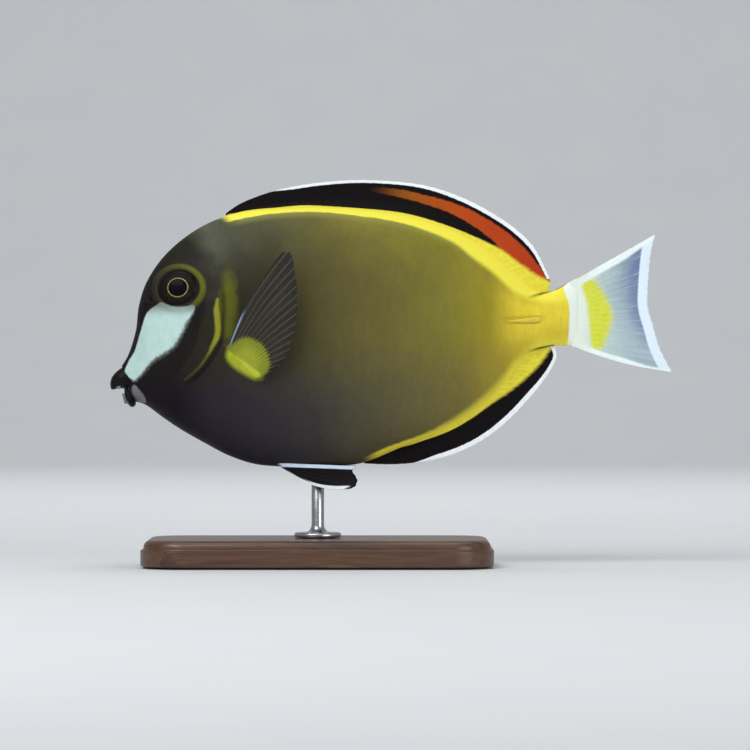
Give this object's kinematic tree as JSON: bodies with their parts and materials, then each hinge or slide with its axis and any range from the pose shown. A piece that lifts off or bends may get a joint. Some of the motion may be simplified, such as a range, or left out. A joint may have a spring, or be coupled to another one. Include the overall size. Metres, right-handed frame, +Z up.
{
  "type": "japan surgeonfish",
  "caption": "Life-size japan surgeonfish, swimming level with spread fins and a slightly open mouth, held by a short rod on a flat display base.",
  "frame": {"origin": "bottom centre of the box round the fish and its stand; the base's underside is z = 0", "axes": "+X from the snout towards the tail, +Y towards the fish's right side, +Z up"},
  "size_m": [0.1799, 0.06, 0.1236],
  "materials": {
    "skin_head": "satin, dark olive-brown with a white cheek",
    "skin_flank": "satin, olive-brown",
    "skin_stalk": "satin, yellow",
    "lip": "satin, near black",
    "dark_fin": "satin, black",
    "tail_fin": "satin, pale with a yellow bar",
    "pectoral_fin": "satin, smoky with a yellow base",
    "eye": "polished, black with a gold ring",
    "tail_spine": "smooth, bone-yellow",
    "walnut": "satin lacquer",
    "steel": "fine turned"
  },
  "bodies": {
    "root": {"head": "skin_head", "torso": "skin_flank", "tail_stalk": "skin_stalk", "upper_lip": "lip", "lower_lip": "lip", "eye_left": "eye", "eye_right": "eye", "dorsal_fin": "dark_fin", "anal_fin": "dark_fin", "tail_fin": "tail_fin", "pectoral_fin_left": "pectoral_fin", "pectoral_fin_right": "pectoral_fin", "pelvic_fin_left": "dark_fin", "pelvic_fin_right": "dark_fin", "tail_spine_left": "tail_spine", "tail_spine_right": "tail_spine", "stand_base": "walnut", "stand_rod": "steel"}
  },
  "joints": []
}
